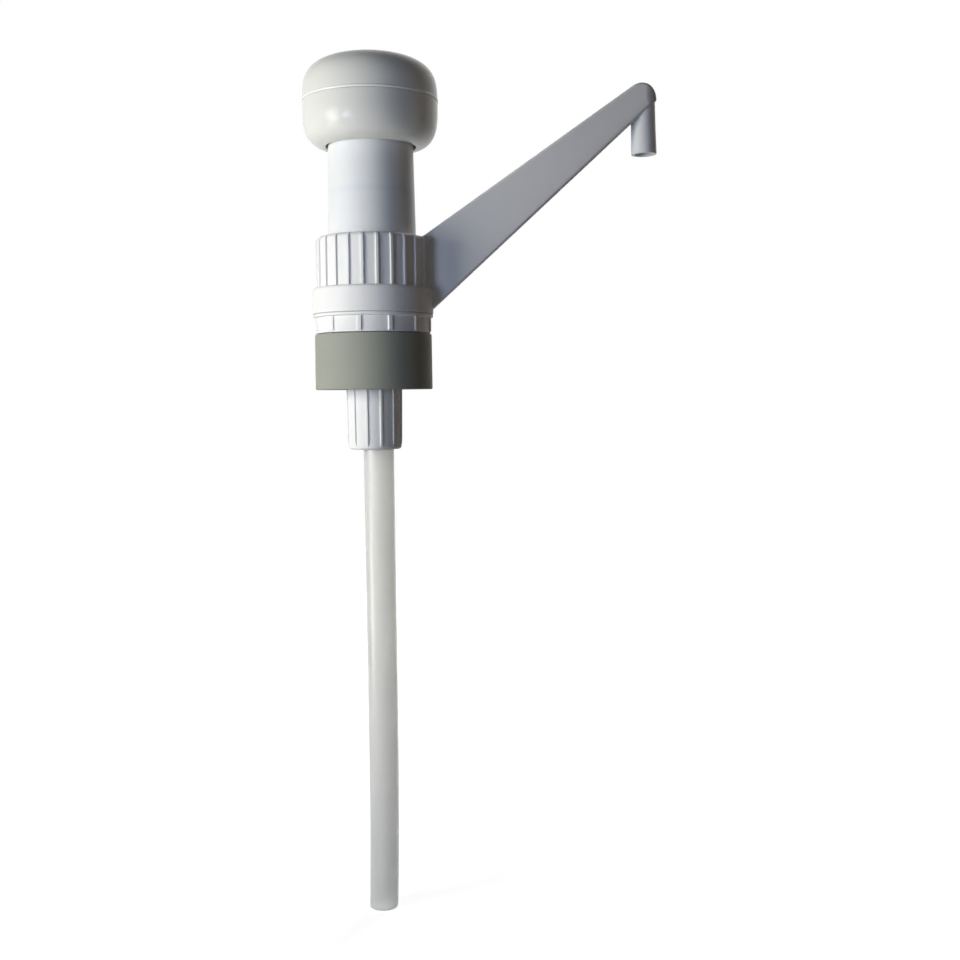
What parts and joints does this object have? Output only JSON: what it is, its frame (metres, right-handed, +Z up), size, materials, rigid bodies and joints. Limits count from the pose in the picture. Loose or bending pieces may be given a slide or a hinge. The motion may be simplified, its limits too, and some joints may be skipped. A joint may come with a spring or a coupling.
{
  "type": "canister dosing pump",
  "caption": "Hand dosing pump for a canister: push knob on a sleeve, tapered spout arm with a down-turned nozzle, swivelling screw adapter, ribbed nut and long dip tube.",
  "frame": {"origin": "centre of the adapter's mouth, where the canister neck screws in", "axes": "+Z up along the pump's axis, +X along the spout arm"},
  "size_m": [0.1744, 0.0662, 0.4224],
  "materials": {
    "ivory_plastic": "smooth ivory moulded plastic",
    "white_plastic": "satin cool white moulded plastic",
    "grey_plastic": "matte olive grey moulded plastic",
    "milky_plastic": "milky translucent extruded plastic",
    "natural_plastic": "natural uncoloured moulded plastic",
    "seal_rubber": "black soft rubber",
    "spring_steel": "drawn stainless steel",
    "ball_steel": "polished stainless steel"
  },
  "bodies": {
    "cap": {"thread_adapter": "grey_plastic", "cap_gasket": "seal_rubber", "union_ring": "white_plastic", "swivel_seal": "seal_rubber"},
    "pump_body": {"spout_housing": "white_plastic", "nozzle": "white_plastic", "outer_sleeve": "white_plastic", "pump_barrel": "natural_plastic", "guide_bush": "natural_plastic", "rod_wiper": "seal_rubber", "barrel_gasket": "seal_rubber", "barrel_seal": "seal_rubber", "barrel_o_ring": "seal_rubber", "outlet_seat": "natural_plastic", "outlet_cage": "natural_plastic", "valve_body": "natural_plastic", "tube_holder": "natural_plastic", "holder_gasket": "seal_rubber", "suction_cage": "natural_plastic", "suction_nut": "white_plastic", "dip_tube": "milky_plastic", "return_spring": "spring_steel"},
    "spring_top": {"spring_seat": "spring_steel"},
    "plunger": {"knob_dome": "ivory_plastic", "knob_bowl": "ivory_plastic", "plunger_rod": "natural_plastic", "piston": "natural_plastic", "piston_seal": "seal_rubber", "piston_washer": "spring_steel", "piston_screw": "spring_steel"},
    "suction_check": {"suction_ball": "ball_steel"},
    "outlet_check": {"outlet_ball": "ball_steel"}
  },
  "joints": [
    {"name": "spout_swivel", "type": "hinge", "parent": "cap", "child": "pump_body", "pos_m": [0, 0, 0.0335], "axis": [0, 0, 1], "continuous": true},
    {"name": "knob_stroke", "type": "slide", "parent": "pump_body", "child": "spring_top", "axis": [0, 0, -1], "range_m": [0, 0.035], "stiffness_N_per_m": 570, "springref_m": -0.015, "deforming": ["return_spring"]},
    {"name": "knob_turn", "type": "hinge", "parent": "spring_top", "child": "plunger", "pos_m": [0, 0, 0.1], "axis": [0, 0, 1], "continuous": true},
    {"name": "suction_ball_lift", "type": "slide", "parent": "pump_body", "child": "suction_check", "axis": [0, 0, 1], "range_m": [0, 0.003]},
    {"name": "outlet_ball_lift", "type": "slide", "parent": "pump_body", "child": "outlet_check", "axis": [0.7823, 0, 0.6229], "range_m": [0, 0.003]}
  ]
}
